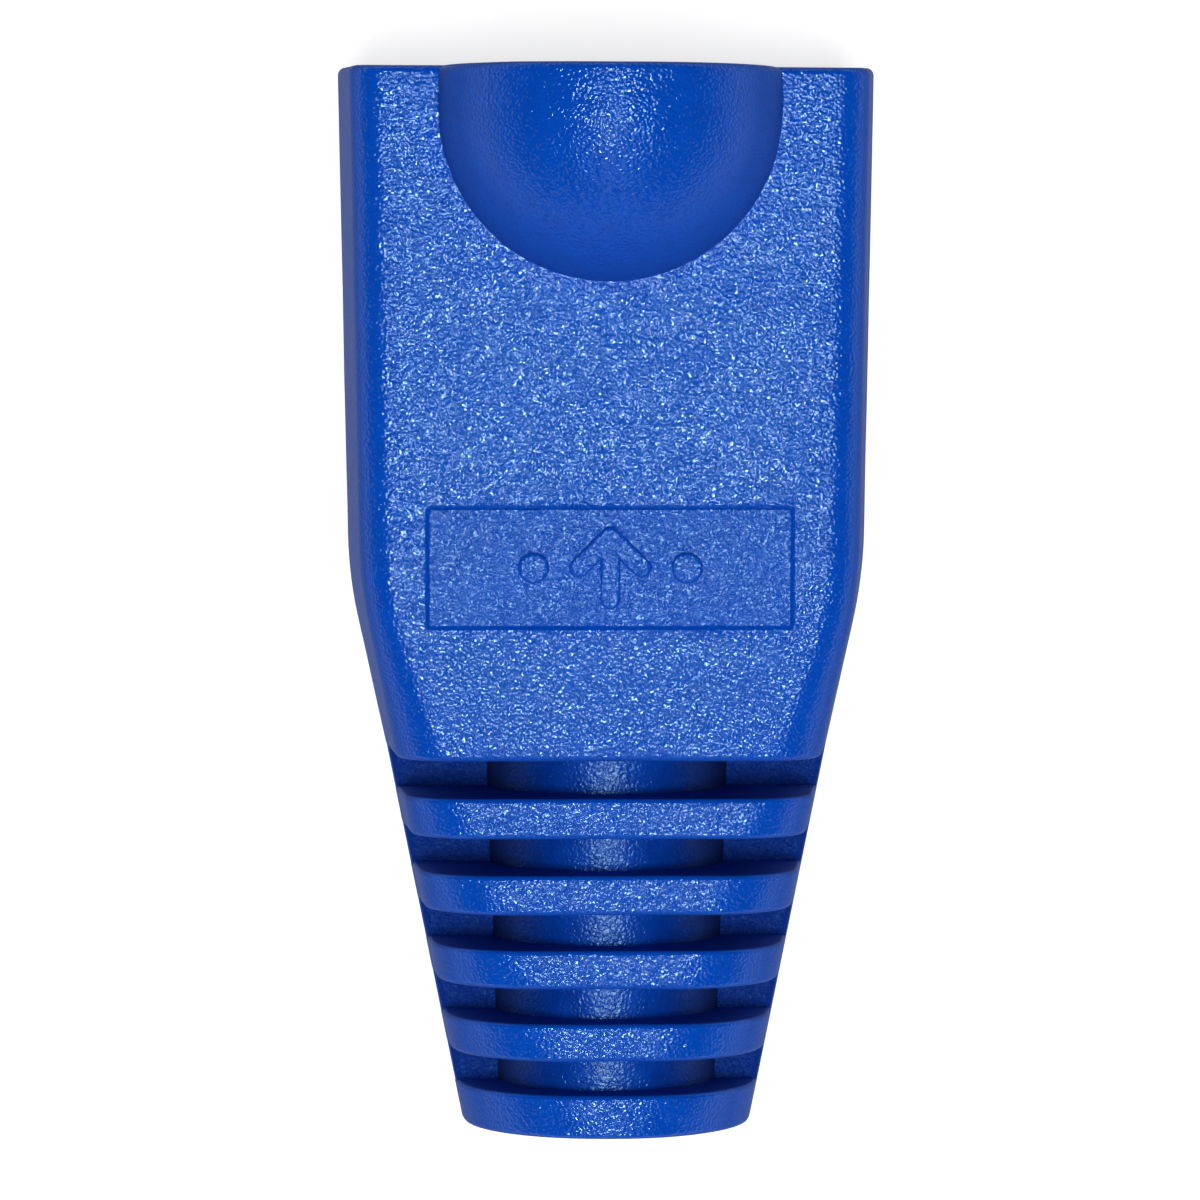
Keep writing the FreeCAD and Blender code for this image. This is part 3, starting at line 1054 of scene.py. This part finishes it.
# %% The grain group
LATTICE_TURN = (0.61, 0.47, 0.35)
PATCHES_PER_MM = 1.6
PATCH_SHARE = 0.1
SHEEN_FLECK_FROM = 0.5
SHEEN_FLECK_RISE = 7.0
grain_inputs = [
    ("Ridges per mm", FLOAT, 7.0),
    ("Warp", FLOAT, 0.6),
]
grain_outputs = [("Height", FLOAT), ("Dust", FLOAT), ("Fleck", FLOAT)]
grain_tree, grain_in, grain_out = new_tree(
    "Spark eroded grain", "ShaderNodeTree", grain_inputs, grain_outputs
)
coordinates = add_node(grain_tree, "ShaderNodeTexCoord").outputs["Object"]
in_mm = add_node(
    grain_tree, "ShaderNodeVectorMath", {0: coordinates, "Scale": 1.0 / MM}, operation="SCALE"
)
aslant = add_node(
    grain_tree,
    "ShaderNodeVectorRotate",
    {"Vector": in_mm.outputs[0], "Rotation": LATTICE_TURN},
    rotation_type="EULER_XYZ",
)
ridges = add_node(
    grain_tree,
    "ShaderNodeTexNoise",
    {
        "Vector": aslant.outputs[0],
        "Scale": grain_in["Ridges per mm"],
        "Detail": 0.0,
        "Roughness": 0.5,
        "Distortion": grain_in["Warp"],
    },
)
patches = add_node(
    grain_tree,
    "ShaderNodeTexNoise",
    {"Vector": in_mm.outputs[0], "Scale": PATCHES_PER_MM, "Detail": 2.0},
)
ridge_height = Num(grain_tree, ridges.outputs["Fac"])
patch_value = Num(grain_tree, patches.outputs["Fac"])
height_value = ridge_height * (1.0 - PATCH_SHARE / 2.0 + patch_value * PATCH_SHARE)
grain_tree.links.new(height_value.socket, grain_out.inputs["Height"])
grain_tree.links.new(patch_value.socket, grain_out.inputs["Dust"])
# A mask of the ridge tops, where a painted sheen goes.
sheen_fleck_value = clamped((ridge_height - SHEEN_FLECK_FROM) * SHEEN_FLECK_RISE)
grain_tree.links.new(sheen_fleck_value.socket, grain_out.inputs["Fleck"])

# %% [markdown]
# ## The five finishes
#
# All five are the same blue PVC. They differ in how the mould's surface was made: eroded on the
# faces, finer in the panel's insert, softer on the tube, fuzzy on the side bars and smooth on
# the cores. Gloss changes a little from patch to patch, and a face seen at a slant looks matt,
# as soft PVC does. The tube and the side bars in the gaps get darker blues, which are painted
# shade, and greyer flecks on the bars' ridge tops are a painted sheen. The tube's flanks lie deep
# between the ribs, so painted shade takes its colour to almost black away from the middle.

# %% Finish recipe
PVC_BLUE = (0.0008, 0.064, 0.46, 1.0)
DEEP_BLUE = (0.0006, 0.052, 0.39, 1.0)
# Painted light: the next two blues are shade in the gaps, then a sheen fleck and flank shade.
GAP_SHADE_BLUE = (0.0005, 0.030, 0.26, 1.0)
BAR_SHADE_BLUE = (0.0004, 0.022, 0.20, 1.0)
SHEEN_FLECK_BLUE = (0.003, 0.014, 0.16, 1.0)
FLANK_SHADE_BLUE = (0.0001, 0.004, 0.06, 1.0)
FLANK_SHADE_START = 0.6 * MM
FLANK_SHADE_END = 3.3 * MM
GRAZING_ROUGHNESS = 0.7
DUST_RISE = 1.6
DUST_START = 0.3
GRAZING_FROM = 0.12
GRAZING_RISE = 2.5
PATCH_ROUGHNESS = 0.04
PVC_IOR = 1.53
BLUE_GLINT = (0.5, 0.85, 1.0, 1.0)


def mixed_colour(tree, share, first, second):
    """A colour that goes from first to second as share goes from 0 to 1."""
    mix = tree.nodes.new("ShaderNodeMix")
    mix.data_type = "RGBA"
    tree.links.new(share.socket, mix.inputs["Factor"])
    pairs = [socket for socket in mix.inputs if socket.type == "RGBA"]
    for socket, value in zip(pairs, (first, second)):
        if isinstance(value, bpy.types.NodeSocket):
            tree.links.new(value, socket)
        else:
            socket.default_value = value
    return [socket for socket in mix.outputs if socket.type == "RGBA"][0]


def painted_flank_shade(tree, colour):
    """Painted shade: the colour goes over to almost black away from the part's middle plane."""
    place = add_node(tree, "ShaderNodeTexCoord")
    parts = add_node(tree, "ShaderNodeSeparateXYZ", {"Vector": place.outputs["Object"]})
    across = Num(tree, parts.outputs["X"])
    aside = highest(across, across * -1.0)
    flank_shade_share = clamped((aside - FLANK_SHADE_START) * (1.0 / (FLANK_SHADE_END - FLANK_SHADE_START)))
    return mixed_colour(tree, flank_shade_share, colour, FLANK_SHADE_BLUE)


def pvc_finish(
    material, ridges_per_mm, warp, ridge_depth, roughness, rims_fade=True, sheen_flecks=0.0,
    blues=(DEEP_BLUE, PVC_BLUE), shine=0.31, paint_flank_shade=False
):
    """Fills one material with the shared grain and the blue PVC."""
    material.use_nodes = True
    tree = material.node_tree
    tree.nodes.clear()
    grain = add_node(tree, "ShaderNodeGroup", node_tree=grain_tree)
    grain.inputs["Ridges per mm"].default_value = ridges_per_mm
    grain.inputs["Warp"].default_value = warp
    height = Num(tree, grain.outputs["Height"])
    if rims_fade:
        amount = add_node(
            tree, "ShaderNodeAttribute", attribute_type="GEOMETRY", attribute_name="grain_amount"
        )
        height = height * Num(tree, amount.outputs["Fac"])
    bump = add_node(
        tree,
        "ShaderNodeBump",
        {"Height": height, "Strength": 1.0, "Distance": ridge_depth * MM},
    )
    dust = Num(tree, grain.outputs["Dust"])
    facing = add_node(tree, "ShaderNodeLayerWeight", {"Blend": 0.5})
    grazing = clamped((Num(tree, facing.outputs["Facing"]) - GRAZING_FROM) * GRAZING_RISE)
    polish = dust * PATCH_ROUGHNESS + (roughness - PATCH_ROUGHNESS / 2.0)
    shade = polish + grazing * (GRAZING_ROUGHNESS - roughness)
    colour = mixed_colour(tree, clamped(dust * DUST_RISE - DUST_START), *blues)
    # Painted sheen: greyer flecks on the ridge tops.
    sheen_fleck_share = Num(tree, grain.outputs["Fleck"]) * sheen_flecks
    colour = mixed_colour(tree, sheen_fleck_share, colour, SHEEN_FLECK_BLUE)
    # Painted shade: the tube's flanks go almost black away from the middle.
    if paint_flank_shade:
        colour = painted_flank_shade(tree, colour)
    shader = add_node(
        tree,
        "ShaderNodeBsdfPrincipled",
        {
            "Base Color": colour,
            "Roughness": shade,
            "Normal": bump.outputs["Normal"],
            "IOR": PVC_IOR,
            "Specular IOR Level": shine,
            "Specular Tint": BLUE_GLINT,
        },
        distribution="GGX",
    )
    output = add_node(tree, "ShaderNodeOutputMaterial")
    tree.links.new(shader.outputs[0], output.inputs["Surface"])


pvc_finish(grained, ridges_per_mm=13.2, warp=0.25, ridge_depth=0.030, roughness=0.065, shine=0.36)
pvc_finish(panel_skin, ridges_per_mm=14.5, warp=0.3, ridge_depth=0.030, roughness=0.20)
# The tube's darker blues and its darkened flanks are painted shade.
pvc_finish(
    gap_skin, ridges_per_mm=12.5, warp=0.5, ridge_depth=0.020, roughness=0.26,
    rims_fade=False, blues=(GAP_SHADE_BLUE, DEEP_BLUE), shine=0.25, paint_flank_shade=True
)
# The bars' darker blue is painted shade, and their flecks are a painted sheen.
pvc_finish(
    bar_skin, ridges_per_mm=13.0, warp=1.2, ridge_depth=0.034, roughness=0.4,
    rims_fade=False, sheen_flecks=0.45, blues=(BAR_SHADE_BLUE, BAR_SHADE_BLUE), shine=0.08
)
pvc_finish(inner_skin, ridges_per_mm=6.0, warp=0.3, ridge_depth=0.006, roughness=0.42)

# %% [markdown]
# ## Floor, light and camera
#
# The boot lies on a plain pale floor. The camera looks down on it from fifteen centimetres and
# leans a little towards the mouth. The main lamp is a small soft box far behind the camera, so
# that the grain of the flat front glitters while the rounds and the sides stay plain blue. Two
# weak ones lean over the tail. The room is pale near the horizon and dim above.

# %% Floor
FLOOR_REACH = 0.6
FLOOR_GREY = (0.45, 0.45, 0.45, 1.0)
FLOOR_GLOW = 0.74
WHITE = (1.0, 1.0, 1.0, 1.0)
floor_mesh = bpy.data.meshes.new("floor")
signs = ((-1.0, -1.0), (1.0, -1.0), (1.0, 1.0), (-1.0, 1.0))
floor_corners = [(FLOOR_REACH * x, FLOOR_REACH * y, 0.0) for x, y in signs]
floor_mesh.from_pydata(floor_corners, [], [(0, 1, 2, 3)])
floor = bpy.data.objects.new("floor", floor_mesh)
bpy.context.scene.collection.objects.link(floor)
floor_paint = bpy.data.materials.new("Pale floor")
floor_paint.use_nodes = True
paint_tree = floor_paint.node_tree
paint_tree.nodes.clear()
matte = add_node(paint_tree, "ShaderNodeBsdfDiffuse", {"Color": FLOOR_GREY})
glow = add_node(paint_tree, "ShaderNodeEmission", {"Color": WHITE})
path = add_node(paint_tree, "ShaderNodeLightPath")
seen = Num(paint_tree, path.outputs["Is Camera Ray"])
mirrored = Num(paint_tree, path.outputs["Is Glossy Ray"])
through = Num(paint_tree, path.outputs["Is Transmission Ray"])
direct = highest(highest(seen, mirrored), through)
glow_level = direct * FLOOR_GLOW
paint_tree.links.new(glow_level.socket, glow.inputs["Strength"])
both = add_node(paint_tree, "ShaderNodeAddShader", {0: matte.outputs[0], 1: glow.outputs[0]})
add_node(paint_tree, "ShaderNodeOutputMaterial", {"Surface": both.outputs[0]})
floor.data.materials.append(floor_paint)

# %% World
HORIZON_LEVEL = 1.0
OVERHEAD_LEVEL = 0.04
HORIZON_EDGE = 2.4
HORIZON_FADE = 14.0
world = bpy.data.worlds.new("Pale room")
bpy.context.scene.world = world
world.use_nodes = True
world_tree = world.node_tree
world_tree.nodes.clear()
direction = add_node(world_tree, "ShaderNodeTexCoord").outputs["Generated"]
direction_split = add_node(world_tree, "ShaderNodeSeparateXYZ", {0: direction})
height_share = Num(world_tree, direction_split.outputs["Z"])
steepness = highest(height_share, height_share * -1.0)
horizon = clamped(HORIZON_EDGE - steepness * HORIZON_FADE)
room_level = horizon * (HORIZON_LEVEL - OVERHEAD_LEVEL) + OVERHEAD_LEVEL
room_light = add_node(
    world_tree, "ShaderNodeBackground", {"Color": WHITE, "Strength": room_level}
)
add_node(world_tree, "ShaderNodeOutputWorld", {"Surface": room_light.outputs[0]})

# %% Camera
AIM = Vector((-0.00016, -0.00011, axis_height * MM))
EYE_DISTANCE = 0.15442
EYE_LEAN = math.radians(3.41)
EYE_SIDE = math.radians(1.13)
LENS = 176.6


def above(aim, distance, lean, side):
    """A point over the part: lean is towards the mouth, side is towards -X."""
    direction = Vector((-math.tan(side), math.tan(lean), 1.0)).normalized()
    return aim + direction * distance


def face_down(thing, aim):
    """Turns a camera or lamp to look at a point, with +Y upwards in its view."""
    back = (thing.location - aim).normalized()
    right = Vector((0.0, 1.0, 0.0)).cross(back).normalized()
    up = back.cross(right)
    turn = Matrix((right, up, back)).transposed()
    thing.rotation_euler = turn.to_euler()


camera_data = bpy.data.cameras.new("camera")
camera_data.sensor_width = 36.0
camera_data.lens = LENS
camera_data.clip_start = 0.01
camera = bpy.data.objects.new("camera", camera_data)
camera.location = above(AIM, EYE_DISTANCE, EYE_LEAN, EYE_SIDE)
face_down(camera, AIM)
bpy.context.scene.collection.objects.link(camera)
bpy.context.scene.camera = camera

# %% Lamps
LAMP_DISTANCE = 0.5


def soft_lamp(name, lean, width, height, power):
    """A rectangular soft lamp over the part's middle plane that faces the part."""
    lamp_data = bpy.data.lights.new(name, "AREA")
    lamp_data.shape = "RECTANGLE"
    lamp_data.size = width
    lamp_data.size_y = height
    lamp_data.energy = power
    lamp = bpy.data.objects.new(name, lamp_data)
    lamp.location = above(AIM, LAMP_DISTANCE, math.radians(lean), 0.0)
    face_down(lamp, AIM)
    bpy.context.scene.collection.objects.link(lamp)
    return lamp


soft_lamp("middle_softbox", lean=-4.0, width=0.14, height=0.09, power=2.0)
soft_lamp("tail_softbox", lean=-18.0, width=0.22, height=0.10, power=0.3)
soft_lamp("low_softbox", lean=-45.0, width=0.3, height=0.3, power=0.4)
bpy.context.scene.view_settings.view_transform = "Standard"
